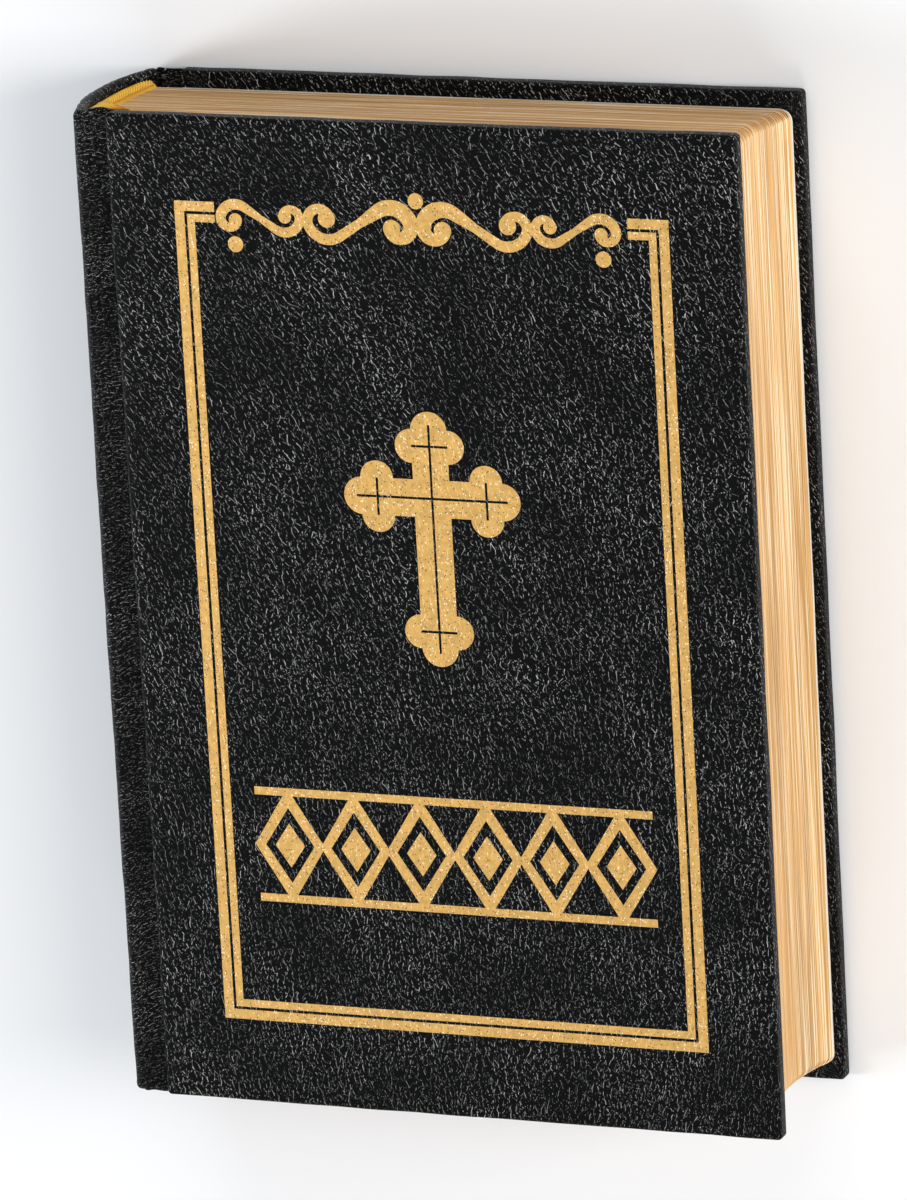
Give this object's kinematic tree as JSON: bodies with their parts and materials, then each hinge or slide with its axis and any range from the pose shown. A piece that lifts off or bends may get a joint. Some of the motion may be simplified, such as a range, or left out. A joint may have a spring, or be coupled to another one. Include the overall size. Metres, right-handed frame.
{
  "type": "case-bound bible",
  "caption": "Closed hardcover book: leather-covered boards with gold stamping, rounded hollow spine, gilt page edges, headbands and ribbon marker.",
  "frame": {"origin": "under the middle of the closed book, on the plane it lies on", "axes": "+X from the spine to the fore-edge, +Y from the tail to the head, +Z through the thickness, out of the front cover"},
  "size_m": [0.1548, 0.221, 0.045],
  "materials": {
    "black_leather": "semi-gloss grained black leather",
    "gold_foil": "stamped gold foil with fine sparkle",
    "board": "grey pasteboard",
    "lining_paper": "brown lining paper",
    "endpaper": "smooth off-white endpaper",
    "gilt_pages": "thin white leaves with gilt edges",
    "yellow_silk": "golden yellow woven silk",
    "linen": "natural linen thread and gauze"
  },
  "bodies": {
    "back_cover": {"back_leather": "black_leather", "back_board": "board", "back_infill": "lining_paper", "back_pastedown": "endpaper"},
    "front_cover": {"front_leather": "black_leather", "front_board": "board", "front_infill": "lining_paper", "front_pastedown": "endpaper", "foil_cross": "gold_foil", "foil_dots": "gold_foil", "foil_inner_rule": "gold_foil", "foil_lozenge_band": "gold_foil", "foil_outer_rule": "gold_foil", "foil_scrolls": "gold_foil"},
    "front_flyleaf": {"front_flyleaf": "endpaper"},
    "section_24_leaves": {"section_24": "gilt_pages"},
    "section_23_leaves": {"section_23": "gilt_pages"},
    "section_22_leaves": {"section_22": "gilt_pages"},
    "text_block": {"back_flyleaf": "endpaper", "headband_head": "yellow_silk", "headband_tail": "yellow_silk", "ribbon_marker": "yellow_silk", "section_01": "gilt_pages", "section_02": "gilt_pages", "section_03": "gilt_pages", "section_04": "gilt_pages", "section_05": "gilt_pages", "section_06": "gilt_pages", "section_07": "gilt_pages", "section_08": "gilt_pages", "section_09": "gilt_pages", "section_10": "gilt_pages", "section_11": "gilt_pages", "section_12": "gilt_pages", "section_13": "gilt_pages", "section_14": "gilt_pages", "section_15": "gilt_pages", "section_16": "gilt_pages", "section_17": "gilt_pages", "section_18": "gilt_pages", "section_19": "gilt_pages", "section_20": "gilt_pages", "section_21": "gilt_pages", "section_22_fold": "gilt_pages", "section_23_fold": "gilt_pages", "section_24_fold": "gilt_pages", "sewing_threads": "linen", "spine_gauze": "linen", "spine_leather": "black_leather", "spine_lining": "lining_paper", "spine_strip": "board"}
  },
  "joints": [
    {"name": "back_cover_hinge", "type": "hinge", "parent": "back_cover", "child": "text_block", "pos_m": [-0.07285, 0, 0.0015], "axis": [0, 1, 0], "range_deg": [-75, 0]},
    {"name": "front_cover_hinge", "type": "hinge", "parent": "text_block", "child": "front_cover", "pos_m": [-0.07285, 0, 0.0435], "axis": [0, -1, 0], "range_deg": [0, 180]},
    {"name": "front_flyleaf_hinge", "type": "hinge", "parent": "text_block", "child": "front_flyleaf", "pos_m": [-0.06665, 0, 0.04035], "axis": [0, -1, 0], "range_deg": [0, 135]},
    {"name": "section_24_leaves_hinge", "type": "hinge", "parent": "text_block", "child": "section_24_leaves", "pos_m": [-0.06665, 0, 0.03862], "axis": [0, -1, 0], "range_deg": [0, 104.4]},
    {"name": "section_23_leaves_hinge", "type": "hinge", "parent": "text_block", "child": "section_23_leaves", "pos_m": [-0.06665, 0, 0.0369], "axis": [0, -1, 0], "range_deg": [0, 72]},
    {"name": "section_22_leaves_hinge", "type": "hinge", "parent": "text_block", "child": "section_22_leaves", "pos_m": [-0.06665, 0, 0.03517], "axis": [0, -1, 0], "range_deg": [0, 36]}
  ],
  "couplings": [
    {"joint": "front_flyleaf_hinge", "follows": "front_cover_hinge", "ratio": 0.75},
    {"joint": "section_24_leaves_hinge", "follows": "front_cover_hinge", "ratio": 0.58},
    {"joint": "section_23_leaves_hinge", "follows": "front_cover_hinge", "ratio": 0.4},
    {"joint": "section_22_leaves_hinge", "follows": "front_cover_hinge", "ratio": 0.2}
  ]
}
